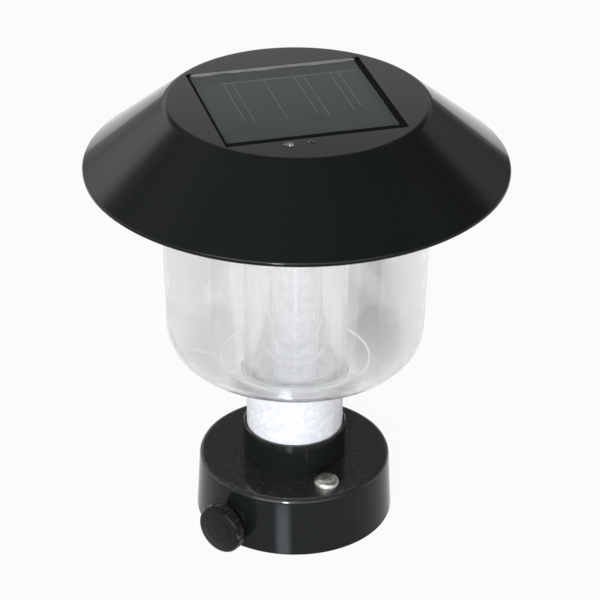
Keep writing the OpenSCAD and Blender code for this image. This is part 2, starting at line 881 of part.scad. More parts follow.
// The light sensor's body, under its window
module sensor_element() {
    color([0.8, 0.5, 0.3])
        on_panel()
            translate([sensor_x, sensor_y, sensor_z])
                cylinder(r = sensor_r - sensor_gap / 2, h = sensor_h);
}

// Leads from the light sensor to the board
module sensor_leads() {
    sensor_at = [
        panel_pos[0] + sensor_x * cos(panel_turn) - sensor_y * sin(panel_turn),
        panel_pos[1] + sensor_x * sin(panel_turn) + sensor_y * cos(panel_turn)
    ];
    wire_r = 0.4;
    wire_half = 0.9;
    run_above = 3.2;
    bend = 1.5;
    color([0.85, 0.8, 0.3])
        for (side = [-1, 1])
            lead(sensor_at[0] + side * wire_half, sensor_at[1], board_front + pad_in,
                sensor_z, board_top + run_above, board_top, wire_r, bend);
}

// Small lens beside the sensor
module indicator_lens() {
    color([0.8, 0.8, 0.8, 0.6])
        on_panel()
            translate([indicator_x, sensor_y, roof_under - window_foot])
                rotate_extrude()
                    polygon(concat(
                        [[0, 0], [indicator_r, 0]],
                        arc(0, roof_t + window_foot, indicator_r, lens_dome, 0, 90, 6)
                    ));
}

// ---- Tray and what it carries ----

// Black tray that closes the roof: plate, collar with the bayonet's channels, light-pipe socket, cell box
module light_tray() {
    box_half = box_in + box_wall;
    channel_r = collar_in + lug_out + lug_slack_z;
    free_a = lug_angle / 2 + lug_slack_a;
    tab_slot = contact_t + 3 * slip;
    ear_hole = 5;
    standoff_floor = 0.4;
    color([0.05, 0.05, 0.05])
        difference() {
            union() {
                ring(0, tray_r, tray_z, tray_top);
                ring(collar_in, head_collar_r, tray_z - head_collar_h, tray_z + eps);
                ring(0, pipe_r + thread_gap + pipe_socket_t, tray_z - pipe_socket_h, tray_z + eps);
                box([-box_end - box_wall, cell_y - box_half, box_under],
                    [box_end + box_wall, cell_y + box_half, box_top]);
                translate([door_ear_x, cell_y, box_under])
                    cylinder(r = door_ear_r, h = tray_z - box_under + eps);
                for (p = standoff_places)
                    translate([p[0], p[1], tray_top - eps])
                        cylinder(r = standoff_r, h = board_rise + eps);
            }
            translate([0, 0, tray_z - pipe_socket_h - eps])
                cylinder(r = pipe_r + thread_gap, h = pipe_socket_h + tray_t + 2 * eps);
            box([-box_end, cell_y - box_in, box_under - eps], [box_end, cell_y + box_in, box_ceiling]);
            // Notch for the door's tongue
            box([-box_end - box_wall - eps, cell_y - tongue_half - slip, box_under - eps],
                [-box_end + eps, cell_y + tongue_half + slip, box_under + door_rim + slip]);
            // Slots for the contacts' tabs
            for (side = [-1, 1])
                translate([side * (contact_x + contact_t / 2) - tab_slot / 2, cell_y - box_half - eps,
                    board_top - slip])
                    cube([tab_slot, box_wall + 2 * eps, tab_h + 2 * slip]);
            translate([door_ear_x, cell_y, box_under - eps])
                cylinder(r = door_screw_r + thread_gap, h = ear_hole);
            for (p = [standoff_places[0], standoff_places[1]])
                translate([p[0], p[1], tray_top + standoff_floor])
                    cylinder(r = board_screw_r + thread_gap, h = board_rise);
            for (i = [0 : tray_screws_n - 1])
                rotate([0, 0, 45 + i * 360 / tray_screws_n])
                    translate([tray_screw_ring, 0, tray_z - eps])
                        cylinder(r = tray_screw_r + slip, h = tray_t + 2 * eps);
            translate([switch_pos[0], switch_pos[1], tray_z - eps])
                linear_extrude(height = tray_t + 2 * eps)
                    square([switch_slot_w, switch_slot_d], center = true);
            for (i = [0 : lugs_n - 1]) {
                // Channel in which a lug turns, and the way in from below at its free end
                ring_piece(collar_in - lug_root, channel_r, lug_z - lug_slack_z, lug_z + lug_h + lug_slack_z,
                    i * 360 / lugs_n - twist_angle - free_a, i * 360 / lugs_n + free_a);
                ring_piece(collar_in - lug_root, channel_r,
                    tray_z - head_collar_h - eps, lug_z + lug_h + lug_slack_z,
                    i * 360 / lugs_n - twist_angle - free_a, i * 360 / lugs_n - twist_angle + free_a);
            }
        }
}

// Screws that hold the tray to the roof
module tray_screws() {
    head_r = 2.6;
    head_h = 1.4;
    head_taper = 0.5;
    shank_l = 8;
    color([0.6, 0.6, 0.6])
        for (i = [0 : tray_screws_n - 1])
            rotate([0, 0, 45 + i * 360 / tray_screws_n])
                translate([tray_screw_ring, 0, tray_z])
                    difference() {
                        union() {
                            cylinder(r = tray_screw_r, h = tray_t + shank_l);
                            translate([0, 0, -head_h])
                                cylinder(r1 = head_r - head_taper, r2 = head_r, h = head_h);
                        }
                        translate([0, 0, -head_h])
                            cross_cut(3, 0.7, 0.8);
                    }
}

// Lamp board
module circuit_board() {
    color([0.1, 0.35, 0.2])
        difference() {
            box([-board_w / 2, board_front, board_z], [board_w / 2, board_back, board_top]);
            for (side = [-1, 1], leg = [-led_leg_off, led_leg_off])
                translate([side * led_off, leg, board_z - eps])
                    cylinder(r = led_leg_r + slip / 2, h = board_t + 2 * eps);
            for (p = [standoff_places[0], standoff_places[1]])
                translate([p[0], p[1], board_z - eps])
                    cylinder(r = board_screw_r + slip, h = board_t + 2 * eps);
        }
}

// Screws that hold the board on its standoffs
module board_screws() {
    color([0.65, 0.65, 0.65])
        for (p = [standoff_places[0], standoff_places[1]])
            translate([p[0], p[1], board_top]) {
                cylinder(r = board_screw_head_r, h = board_screw_head_h);
                translate([0, 0, -board_t - board_rise + board_screw_off])
                    cylinder(r = board_screw_r, h = board_t + board_rise - board_screw_off);
            }
}

// Coil, capacitor, controller and two resistors on the board
module board_parts() {
    coil_at = [-22, -3];
    capacitor_at = [22, -4];
    controller_at = [-13, -5];
    resistor_places = [[16, 1], [-19, 2]];
    coil_r = 3;
    coil_h = 4;
    capacitor_r = 2.2;
    capacitor_h = 4.4;
    controller_size = [5, 4, 1.5];
    resistor_size = [3.2, 1.6, 0.6];
    color([0.12, 0.12, 0.12])
        translate([0, 0, board_top]) {
            translate(coil_at)
                cylinder(r = coil_r, h = coil_h);
            translate(capacitor_at)
                cylinder(r = capacitor_r, h = capacitor_h);
            translate(controller_at)
                cube(controller_size);
            for (p = resistor_places)
                translate(p)
                    cube(resistor_size);
        }
}

// Two white lamps pointing down into the light pipe
module leds() {
    leg_out = 0.8;
    color([0.92, 0.94, 1])
        for (side = [-1, 1])
            translate([side * led_off, 0, 0]) {
                rotate_extrude()
                    polygon(concat(
                        arc(0, led_tip + led_r, led_r, led_r, -90, 0, 8),
                        [[led_r, led_flange_z - led_flange_h]],
                        [[led_r + led_flange_w, led_flange_z - led_flange_h]],
                        [[led_r + led_flange_w, led_flange_z], [0, led_flange_z]]
                    ));
                for (leg = [-led_leg_off, led_leg_off])
                    translate([0, leg, led_flange_z - eps])
                        cylinder(r = led_leg_r, h = board_top + leg_out - led_flange_z);
            }
}

// Clear column with prism steps, split in two by a groove front and back
module light_pipe() {
    steps_top = pipe_foot + prism_steps * prism_pitch;
    color([0.9, 0.93, 0.95, 0.5])
        difference() {
            rotate_extrude()
                polygon(concat(
                    [[0, pipe_foot + pipe_bevel], [pipe_r - prism_depth - pipe_bevel_w, pipe_foot]],
                    [for (i = [0 : prism_steps - 1], half = [0, 1])
                        [pipe_r - prism_depth * (1 - half), pipe_foot + (i + half) * prism_pitch]],
                    [[pipe_r, pipe_top], [0, pipe_top]]
                ));
            for (side = [-1, 1])
                translate([0, 0, pipe_foot - eps])
                    linear_extrude(height = steps_top - pipe_foot + 2 * eps)
                        polygon([[-groove_half, side * (pipe_r + 1)], [groove_half, side * (pipe_r + 1)],
                            [0, side * (pipe_r - prism_depth - groove_depth)]]);
        }
}

// Rechargeable cell, lying across the head behind the light pipe
module battery_cell() {
    color([0.2, 0.45, 0.25])
        translate([cell_end, cell_y, cell_z])
            rotate([0, 90, 0]) {
                cylinder(r = cell_r, h = cell_l);
                translate([0, 0, cell_l - eps])
                    cylinder(r = nub_r, h = nub_l + eps);
            }
}

// The shape that both contacts share: a plate at the box's end and a tab out to the board
module contact_plate(side) {
    x1 = side > 0 ? contact_x : -contact_x - contact_t;
    half = 6;
    foot = 5.5;
    color([0.8, 0.78, 0.7]) {
        box([x1, cell_y - half, cell_z - foot], [x1 + contact_t, cell_y + half, cell_z + half]);
        box([x1, board_back - pad_in, board_top],
            [x1 + contact_t, cell_y - half + contact_gap, board_top + tab_h]);
    }
}

// Flat contact with a raised button for the cell's nub
module positive_contact() {
    button_r = nub_r * 0.8;
    contact_plate(1);
    color([0.8, 0.78, 0.7])
        translate([cell_end + cell_l + nub_l, cell_y, cell_z])
            rotate([0, 90, 0])
                cylinder(r = button_r, h = contact_x - cell_end - cell_l - nub_l + eps);
}

// Contact with a bent leaf that presses on the cell's flat end
module negative_contact() {
    leaf_w = 5;
    leaf_half = 5;
    leaf_t = 0.6;
    tip_half = 1;
    tip_inner = 0.8;
    root_x = -contact_x - eps;
    inner_x = cell_end - contact_t;
    contact_plate(-1);
    color([0.8, 0.78, 0.7])
        translate([0, cell_y, cell_z])
            rotate([90, 0, 0])
                linear_extrude(height = leaf_w, center = true)
                    polygon([
                        [root_x, -leaf_half], [cell_end, -tip_half], [cell_end, tip_half],
                        [root_x, leaf_half], [root_x, leaf_half - leaf_t], [inner_x, tip_inner],
                        [inner_x, -tip_inner], [root_x, leaf_t - leaf_half]
                    ]);
}

// Door under the cell: plate, rim inside the box, tongue at one end and a screw ear at the other
module battery_door() {
    box_half = box_in + box_wall;
    color([0.06, 0.06, 0.06])
        difference() {
            union() {
                box([-box_end - box_wall, cell_y - box_half, box_under - door_t],
                    [box_end + box_wall, cell_y + box_half, box_under]);
                box([-box_end + slip, cell_y - box_in + slip, box_under - eps],
                    [box_end - slip, cell_y + box_in - slip, box_under + door_rim]);
                box([-box_end - box_wall + slip, cell_y - tongue_half, box_under - eps],
                    [-box_end + 1, cell_y + tongue_half, box_under + door_rim]);
                translate([door_ear_x, cell_y, box_under - door_t])
                    cylinder(r = door_ear_r, h = door_t);
                box([box_end, cell_y - door_ear_r, box_under - door_t],
                    [door_ear_x, cell_y + door_ear_r, box_under]);
            }
            translate([door_ear_x, cell_y, box_under - door_t - eps])
                cylinder(r = door_screw_r + slip, h = door_t + 2 * eps);
        }
}

// Screw that holds the door
module door_screw() {
    head_r = 2.5;
    head_h = 1.3;
    head_taper = 0.5;
    color([0.6, 0.6, 0.6])
        translate([door_ear_x, cell_y, box_under - door_t])
            difference() {
                union() {
                    cylinder(r = door_screw_r, h = door_t + door_screw_l);
                    translate([0, 0, -head_h])
                        cylinder(r1 = head_r - head_taper, r2 = head_r, h = head_h);
                }
                translate([0, 0, -head_h])
                    cross_cut(2.8, 0.7, 0.7);
            }
}

// Slide switch standing on the tray
module switch_body() {
    body_w = switch_cavity_w + 2 * switch_wall;
    body_d = switch_cavity_d + 2 * switch_side;
    color([0.15, 0.15, 0.16])
        translate([switch_pos[0], switch_pos[1], tray_top])
            difference() {
                union() {
                    box([-body_w / 2, -body_d / 2, 0], [body_w / 2, body_d / 2, switch_h]);
                    for (i = [-1 : 1])
                        translate([i * switch_pin_step, 0, switch_h - eps])
                            cylinder(r = switch_pin_r, h = switch_pin_h + eps);
                }
                box([-switch_cavity_w / 2, -switch_cavity_d / 2, switch_floor_t],
                    [switch_cavity_w / 2, switch_cavity_d / 2, switch_floor_t + switch_cavity_h]);
                box([-switch_slot_w / 2, -switch_slot_d / 2, -eps],
                    [switch_slot_w / 2, switch_slot_d / 2, switch_floor_t + eps]);
            }
}

// Two leads from the switch's pins to the board
module switch_leads() {
    wire_r = 0.5;
    bend = 0.9;
    color([0.15, 0.15, 0.6])
        for (i = [0, 1]) {
            x = switch_pos[0] + i * switch_pin_step;
            y2 = board_front + pad_in;
            translate([x, switch_pos[1] + switch_pin_r, switch_run_z])
                rotate([-90, 0, 0])
                    cylinder(r = wire_r, h = y2 - bend - switch_pos[1] - switch_pin_r);
            lead_end(x, y2, switch_run_z, board_top, wire_r, bend);
        }
}

// The switch's slider: a block inside the body and a thumb piece through the tray
module switch_slider() {
    block_z = tray_top + switch_floor_t + slip;
    color([0.75, 0.75, 0.73])
        translate([switch_pos[0] - switch_travel / 2, switch_pos[1], 0]) {
            box([-slider_block_w / 2, -slider_block_d / 2, block_z],
                [slider_block_w / 2, slider_block_d / 2, block_z + slider_block_h]);
            box([-slider_w / 2, -slider_d / 2, slider_foot], [slider_w / 2, slider_d / 2, block_z + eps]);
        }
}

base_cap();
base_screws();
flange_inserts();
post_pad();
neck_tube();
neck_seal();
clamp_insert();
clamp_pad();
clamp_screw();
clamp_knob();
lens_bowl();
diffuser_tube();
foot_reflector();
rim_seal();
roof_shell();
panel_seal();
panel_board();
solar_cells();
cell_ribbons();
panel_glass();
panel_leads();
sensor_window();
sensor_element();
sensor_leads();
indicator_lens();
light_tray();
tray_screws();
circuit_board();
board_screws();
board_parts();
leds();
light_pipe();
battery_cell();
positive_contact();
negative_contact();
battery_door();
door_screw();
switch_body();
switch_leads();
switch_slider();
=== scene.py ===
"""Looks of a solar deck post cap light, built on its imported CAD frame. Metres, +Z up, front towards -Y."""

import math

import bmesh
import bpy
from mathutils import Matrix, Vector


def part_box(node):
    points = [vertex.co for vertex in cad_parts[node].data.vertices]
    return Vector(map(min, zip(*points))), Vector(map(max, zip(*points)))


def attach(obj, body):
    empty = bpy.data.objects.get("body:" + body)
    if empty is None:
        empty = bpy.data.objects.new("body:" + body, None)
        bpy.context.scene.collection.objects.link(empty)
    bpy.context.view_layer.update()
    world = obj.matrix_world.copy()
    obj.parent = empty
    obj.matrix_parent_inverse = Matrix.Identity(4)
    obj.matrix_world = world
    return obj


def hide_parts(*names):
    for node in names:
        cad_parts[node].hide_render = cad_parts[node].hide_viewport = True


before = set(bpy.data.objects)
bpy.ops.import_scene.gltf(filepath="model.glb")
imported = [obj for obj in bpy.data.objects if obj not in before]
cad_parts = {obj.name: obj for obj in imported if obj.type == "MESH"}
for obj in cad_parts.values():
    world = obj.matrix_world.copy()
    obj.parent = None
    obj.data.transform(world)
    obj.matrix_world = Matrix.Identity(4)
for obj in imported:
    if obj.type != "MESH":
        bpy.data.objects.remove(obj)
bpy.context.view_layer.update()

# ---- Studio ----
# A pale table with the light standing on it, in a pale room that is dim above. A small soft lamp and a large
# one stand in front, and the camera looks down from there.

camera_place, camera_pitch, camera_roll = (0.0017, -0.7829, 0.5387), math.radians(29.68), 0.0093
camera_data = bpy.data.cameras.new("camera")
camera_data.lens, camera_data.sensor_width, camera_data.clip_end = 139.96, 36.0, 20.0
camera = bpy.data.objects.new("camera", camera_data)
bpy.context.scene.collection.objects.link(camera)
camera.matrix_world = (
    Matrix.Translation(camera_place)
    @ Matrix.Rotation(math.radians(90) - camera_pitch, 4, "X")
    @ Matrix.Rotation(camera_roll, 4, "Z")
)
bpy.context.scene.camera = camera
bpy.context.scene.view_settings.view_transform = "Standard"


def fill(holder, sockets):
    """Links wires to a node's sockets, or writes values into them. A colour is given as three numbers."""
    for key, value in dict(sockets).items():
        socket = holder.inputs[key]
        if isinstance(value, Wire):
            holder.id_data.links.new(value.socket, socket)
        elif socket.type == "RGBA":
            socket.default_value = (*value, 1.0)
        else:
            socket.default_value = value


class Wire:
    """A socket in a node tree. Operators add Math nodes, and node() adds a node of any other type."""

    def __init__(self, tree, socket=None):
        self.tree = tree
        self.socket = socket

    def node(self, kind, settings=(), sockets=(), out=0):
        """Adds a node: its settings first, such as an operation or a ramp's stops, and then its sockets."""
        made = self.tree.nodes.new("ShaderNode" + kind)
        for key, value in dict(settings).items():
            if key == "stops":
                elements = made.color_ramp.elements
                while len(elements) < len(value):
                    elements.new(0.5)
                for element, (place, level) in zip(elements, value):
                    element.position = place
                    element.color = (level, level, level, 1.0)
            else:
                setattr(made, key, value)
        fill(made, sockets)
        return Wire(self.tree, made.outputs[out]) if made.outputs else None

    def beside(self, out):
        """Another output of the same node."""
        return Wire(self.tree, self.socket.node.outputs[out])

    def axis(self, name):
        """One of the three numbers of a place, a direction or a colour."""
        return self.node("SeparateXYZ", (), {0: self}, name)

    def math(self, operation, first, second=0.0):
        return self.node("Math", {"operation": operation}, {0: first, 1: second})

    def __add__(self, other):
        return self.math("ADD", self, other)

    __radd__ = __add__

    def __rsub__(self, other):
        return self.math("SUBTRACT", other, self)

    def __mul__(self, other):
        return self.math("MULTIPLY", self, other)

    __rmul__ = __mul__

    def __truediv__(self, other):
        return self.math("DIVIDE", self, other)

    def __gt__(self, other):
        return self.math("GREATER_THAN", self, other)

    def __lt__(self, other):
        return self.math("LESS_THAN", self, other)


def ramp(value, low, high, start=0.0, end=1.0):
    """Goes from start at low to end at high, smooth between and level beyond."""
    return value.node("MapRange", {"interpolation_type": "SMOOTHSTEP"},
                      {"Value": value, "From Min": low, "From Max": high, "To Min": start, "To Max": end})


def rectangle(half_x, half_y, height=0.0):
    """Corners of a level rectangle round the upright axis."""
    return [(-half_x, -half_y, height), (half_x, -half_y, height), (half_x, half_y, height),
            (-half_x, half_y, height)]


def stage_plate(name, corners):
    """A flat plate of the studio, and the wire of its material's empty tree."""
    mesh = bpy.data.meshes.new(name)
    mesh.from_pydata(corners, [], [range(len(corners))])
    plate = bpy.data.objects.new(name, mesh)
    bpy.context.scene.collection.objects.link(plate)
    material = bpy.data.materials.new(name)
    material.use_nodes = True
    material.node_tree.nodes.clear()
    mesh.materials.append(material)
    return plate, Wire(material.node_tree)


white = (1.0, 1.0, 1.0)

# The table top is a hair below the base. It takes light as a plain surface, and shows almost white to the
# camera, to mirrors and to clear plastic. It is clear from below, so that the underside can be looked at.
table_half, table_height, table_tone, white_share = 3.0, -0.0001, (0.8, 0.8, 0.8), 0.94
_, tree = stage_plate("table", rectangle(table_half, table_half, table_height))
path = tree.node("LightPath", out="Is Camera Ray")
seen = path.math("MINIMUM", path + path.beside("Is Glossy Ray") + path.beside("Is Transmission Ray"), 1.0)
lit_table = tree.node("BsdfDiffuse", (), {"Color": table_tone})
white_table = tree.node("Emission", (), {"Color": white, "Strength": 1.0})
from_above = tree.node("MixShader", (), {"Fac": seen * white_share, 1: lit_table, 2: white_table})
from_below = tree.node("BsdfTransparent")
is_below = tree.node("NewGeometry", out="Backfacing")
tree.node("OutputMaterial", (),
          {"Surface": tree.node("MixShader", (), {"Fac": is_below, 1: from_above, 2: from_below})})

# The room's walls are bright at the height of the horizon and dim above. The left is brighter than the right,
# and the lower front is brighter still.
world = bpy.data.worlds.new("studio")
bpy.context.scene.world = world
world.use_nodes = True
world.node_tree.nodes.clear()
sky = Wire(world.node_tree)
height = sky.node("TexCoord", out="Generated").axis("Z")
wall = sky.node("ValToRGB", {"stops": [(0.0, 0.42), (0.1, 0.42), (0.34, 1.1), (0.40, 1.15), (0.47, 0.37),
                                       (0.56, 0.2), (0.70, 0.34), (0.85, 0.22), (1.0, 0.2)]}, {"Fac": height})
from_left = ramp(height.beside("X"), -0.6, 0.6, 1.0, 0.36)
from_front = ramp(height.beside("Y"), -0.85, -0.35, 2.1, 0.0) * ramp(height, 0.55, 0.8, 1.0, 0.0)
room = sky.node("Background", (), {"Color": wall, "Strength": from_left + from_front})
# The camera and the clear plastic see white, and the black gloss mirrors the room itself
white_room = sky.node("Background", (), {"Color": white, "Strength": 1.0})
path = sky.node("LightPath", out="Is Camera Ray")
plain_view = path.math("MINIMUM", path + path.beside("Is Transmission Ray"), 1.0)
either = sky.node("MixShader", (), {"Fac": plain_view, 1: room, 2: white_room})
sky.node("OutputWorld", (), {"Surface": either})


def lamp(name, place, aim, size, power, colour=white):
    """A rectangular soft lamp that looks at a point."""
    data = bpy.data.lights.new(name, "AREA")
    data.shape = "RECTANGLE"
    data.size, data.size_y = size
    data.energy = power
    data.color = colour
    made = bpy.data.objects.new(name, data)
    bpy.context.scene.collection.objects.link(made)
    made.location = place
    made.rotation_euler = (Vector(aim) - Vector(place)).to_track_quat("-Z", "Y").to_euler()


lamp("front_glint", place=(-0.15, -0.95, 0.28), aim=(0, 0, 0.12), size=(0.09, 0.26), power=3.3,
     colour=(0.90, 0.94, 1.0))
lamp("left_key", place=(-0.50, -1.25, 0.72), aim=(0, 0, 0.09), size=(1.3, 1.1), power=4.5)


def show_glow(tree, share, colour, strength):
    """A plate shows the table's white where the share is 0, and a glow of its own where it is 1."""
    plain = tree.node("Emission", (), {"Color": white, "Strength": 1.0})
    glow = tree.node("Emission", (), {"Color": colour, "Strength": strength})
    both = tree.node("MixShader", (), {"Fac": share, 1: plain, 2: glow})
    tree.node("OutputMaterial", (), {"Surface": both})


# A bright strip on the table before the skirt, which only mirrors see, draws the skirt's upright streak. It
# widens away from a point under the base, and fades towards its edges and its far end.
strip_point, strip_turn = (0.0011, -0.0194, 0.0004), math.radians(166.2)
strip_start, strip_end, strip_slope = 0.020, 0.074, 0.20
core_share, fade_start_share, end_glow = 0.25, 0.6, 0.3
near_half, far_half = strip_slope * strip_start, strip_slope * strip_end
strip, tree = stage_plate("bright_strip", [(-near_half, strip_start, 0), (near_half, strip_start, 0),
                                           (far_half, strip_end, 0), (-far_half, strip_end, 0)])
strip.matrix_world = Matrix.Translation(strip_point) @ Matrix.Rotation(strip_turn, 4, "Z")
strip.visible_camera = strip.visible_shadow = strip.visible_diffuse = strip.visible_transmission = False
across = tree.node("TexCoord", out="Object").axis("X")
along = across.beside("Y")
side_fade = ramp(across.math("ABSOLUTE", across / along), core_share * strip_slope, strip_slope, 1.0, 0.0)
far_fade = ramp(along, fade_start_share * strip_end, strip_end, 1.0, end_glow)
show_glow(tree, side_fade * far_fade, (0.84, 0.92, 1.0), 8.0)

# A soft grey patch on the table behind, which only clear plastic and mirrors see, shades the bowl's right
# side. It fades from its middle to its edges.
patch_place, patch_x, patch_y, patch_core = (0.0365, 0.160, 0.0004), 0.024, 0.095, 0.3
patch, tree = stage_plate("grey_patch", rectangle(patch_x, patch_y))
patch.location = patch_place
patch.visible_camera = patch.visible_shadow = patch.visible_diffuse = False
across = tree.node("TexCoord", out="Object").axis("X")
fade_x, fade_y = (ramp(reach.math("ABSOLUTE", reach), patch_core * half, half, 1.0, 0.0)
                  for reach, half in ((across, patch_x), (across.beside("Y"), patch_y)))
show_glow(tree, fade_x * fade_y, (0.97, 1.0, 0.95), 0.34)


# ---- Base cap ----
# One moulding in black gloss plastic: a skirt over the post, a deck, a collar round the neck and a boss for
# the clamp. It has the faint ripple, hairlines and dust of a part that stands outdoors.

def plastic(name, constants):
    """A new material, its shader with the constants on its sockets, and the place that patterns follow."""
    material = bpy.data.materials.new(name)
    material.use_nodes = True
    shader = material.node_tree.nodes["Principled BSDF"]
    fill(shader, constants)
    return material, shader, Wire(material.node_tree).node("TexCoord", out="Object")


def noise(place, scale, detail=2.0, rough=0.5):
    """Noise over a place, from 0 to 1."""
    return place.node("TexNoise", {"noise_dimensions": "3D"},
                      {"Vector": place, "Scale": scale, "Detail": detail, "Roughness": rough})


def stretch(place, scale):
    """A place scaled along each axis."""
    return place.node("VectorMath", {"operation": "MULTIPLY"}, {0: place, 1: scale})


def blend(factor, first, second):
    """Goes from the first colour to the second with the factor."""
    return factor.node("Mix", {"data_type": "RGBA"}, {0: factor, 6: first, 7: second}, out=2)


def bump(value, depth, under=None):
    """A normal raised by a value, up to a depth in metres, over the normal under it."""
    sockets = {"Height": value, "Distance": depth, "Strength": 1.0}
    if under is not None:
        sockets["Normal"] = under
    return value.node("Bump", (), sockets)


def facing_up(place):
    """1 where the surface looks up, 0 where it is upright and -1 where it looks down."""
    return place.node("NewGeometry", out="Normal").axis("Z")


def dress(material, *names):
    """Gives CAD nodes a material."""
    for name in names:
        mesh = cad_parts[name].data
        mesh.materials.clear()
        mesh.materials.append(material)


def black_gloss(name, tint, dust_share, level, polish):
    """Black moulded plastic: ripple, hairlines, and dust where the surface looks up."""
    material, shader, place = plastic(name, {"IOR": 1.49, "Specular IOR Level": level, "Coat IOR": 1.49,
                                             "Coat Roughness": 0.09, "Coat Tint": (0.93, 1.0, 0.98)})
    ripple = noise(place, 130.0)
    grain = noise(place, 2600.0, 3.0, 0.6)
    hairline = ramp(noise(stretch(place, (2200.0, 60.0, 400.0)), 1.0, 4.0, 0.7), 0.66, 0.74)
    upward = facing_up(place)
    speck = ramp(noise(place, 700.0, 6.0, 0.75), 0.46, 0.78)
    dust = (0.25 + 0.75 * speck) * ramp(upward, 0.1, 0.9) * dust_share
    cloud = noise(place, 22.0, 4.0)
    body = blend(cloud, tint, [1.35 * c for c in tint])
    fill(shader, {
        "Base Color": blend(dust, body, (0.16, 0.155, 0.14)),
        "Coat Weight": polish * ramp(upward, 0.1, 0.4),
        "Roughness": 0.085 + 0.05 * cloud + 0.07 * hairline + 0.5 * dust,
        "Normal": bump(ripple, 0.00002, bump(grain + 0.4 * hairline, 0.000002)),
    })
    return material


cap_black = black_gloss("cap_black", tint=(0.0088, 0.0102, 0.0101), dust_share=0.30, level=0.12, polish=0.9)
dress(cap_black, "base_cap")


# ---- Neck and its flange, inserts, screws, post pad and seal ----
# The neck is a white tube with a fine grained face, turned out at its foot into a flange under the deck.
# Two stainless pan-head screws come down through the deck into brass inserts in the flange.

neck_white, shader, place = plastic("neck_white", {"IOR": 1.5})
mottle = noise(place, 420.0, 5.0, 0.65)
fill(shader, {
    "Base Color": blend(ramp(mottle, 0.35, 0.7), (0.72, 0.73, 0.79), (0.90, 0.90, 0.91)),
    "Roughness": 0.36 + 0.16 * noise(place, 60.0, 3.0),
    "Normal": bump(mottle, 0.00012),
})
dress(neck_white, "neck_tube")


def bright_metal(name, low, high, turning):
    """Bare metal with turning marks, as fine along each axis as turning says, and small stains."""
    material, shader, place = plastic(name, {"Metallic": 1.0})
    marks = noise(stretch(place, turning), 1.0, 3.0, 0.6)
    stain = noise(place, 380.0, 4.0)
    fill(shader, {
        "Base Color": blend(stain, low, high),
        "Roughness": 0.16 + 0.18 * marks + 0.14 * stain,
        "Normal": bump(marks, 0.000012),
    })
    return material


stainless = bright_metal("stainless", (0.50, 0.49, 0.45), (0.72, 0.71, 0.67), (400.0, 400.0, 5200.0))
dress(stainless, "base_screws")
brass = bright_metal("brass", (0.48, 0.31, 0.11), (0.70, 0.50, 0.22), (900.0, 900.0, 3600.0))
dress(brass, "flange_inserts")


def rubber(name, dark, light, rough, shine=0.35, more=()):
    """Soft rubber: matt, with a fine pebble and a pale bloom."""
    material, shader, place = plastic(name, {"IOR": 1.45, "Specular IOR Level": shine, **dict(more)})
    pebble = noise(place, 1500.0, 4.0, 0.7)
    fill(shader, {
        "Base Color": blend(noise(place, 90.0, 5.0), dark, light),
        "Roughness": rough + 0.12 * pebble,
        "Normal": bump(pebble, 0.00005),
    })
    return material


black_rubber = rubber("black_rubber", (0.02, 0.02, 0.02), (0.04, 0.04, 0.038), rough=0.7)
dress(black_rubber, "post_pad")


def add_piece(name, material, body, verts, faces, smooth_angle=40.0):
    """A new mesh piece that rides on a body."""
    mesh = bpy.data.meshes.new(name)
    mesh.from_pydata([tuple(v) for v in verts], [], faces)
    shape = bmesh.new()
    shape.from_mesh(mesh)
    bmesh.ops.remove_doubles(shape, verts=shape.verts, dist=1e-7)
    bmesh.ops.recalc_face_normals(shape, faces=shape.faces)
    shape.to_mesh(mesh)
    shape.free()
    mesh.shade_smooth()
    mesh.set_sharp_from_angle(angle=math.radians(smooth_angle))
    piece = bpy.data.objects.new(name, mesh)
    bpy.context.scene.collection.objects.link(piece)
    mesh.materials.append(material)
    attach(piece, body)
    return piece


def turned(profile, steps=128):
    """Vertices and faces of a closed profile of radius and height, turned round the upright axis."""
    verts, faces, n = [], [], len(profile)
    for i in range(steps):
        angle = 2 * math.pi * i / steps
        verts += [(r * math.cos(angle), r * math.sin(angle), z) for r, z in profile]
    for i in range(steps):
        j = (i + 1) % steps
        faces += [(i * n + k, j * n + k, j * n + (k + 1) % n, i * n + (k + 1) % n) for k in range(n)]
    return verts, faces


# The neck seal is a soft pale ring with two rounded lips above, which touch the bowl's seat, and a flat foot
low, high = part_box("neck_seal")
seal_out, seal_in, lip = high[0], 0.01695, 0.0004
lip_inset, lip_half, lip_foot, lip_rise, lip_steps = 1.6 * lip, 1.5 * lip, high[2] - 1.2 * lip, 1.15 * lip, 8
seal_profile = [(seal_in, low[2]), (seal_out, low[2])]
for centre in (seal_out - lip_inset, seal_in + lip_inset):
    for k in range(lip_steps + 1):
        angle = math.pi * k / lip_steps
        seal_profile.append((centre + lip_half * math.cos(angle), lip_foot + lip_rise * math.sin(angle)))
pale_dark, pale_light = (0.78, 0.79, 0.81), (0.86, 0.87, 0.88)
# The seal's rubber glows faintly with painted light, which lifts a ring that would sit in shade
clear_rubber = rubber("clear_rubber", pale_dark, pale_light, rough=0.5,
                      more={"Emission Color": (0.92, 0.95, 1.0), "Emission Strength": 0.18})
seal_ring = add_piece("neck_seal_ring", clear_rubber, "base", *turned(seal_profile))
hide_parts("neck_seal")
dress(clear_rubber, "neck_seal")


# ---- Post clamp ----
# A black knob moulded on the head of a stainless screw. The screw runs in a brass insert in the boss, and
# presses a loose round pad against the post.

knob_black = black_gloss("knob_black", tint=(0.0070, 0.0074, 0.0077), dust_share=0.04, level=0.13, polish=0.1)
dress(knob_black, "clamp_knob")
dress(brass, "clamp_insert")


def grained_black(name, grain_scale, grain_detail, grain_rough, dark, light, rough, depth):
    """Plain black plastic with a fine grain."""
    material, shader, place = plastic(name, {"IOR": 1.5})
    grain = noise(place, grain_scale, grain_detail, grain_rough)
    fill(shader, {
        "Base Color": blend(grain, dark, light),
        "Roughness": rough + 0.2 * grain,
        "Normal": bump(grain, depth),
    })
    return material


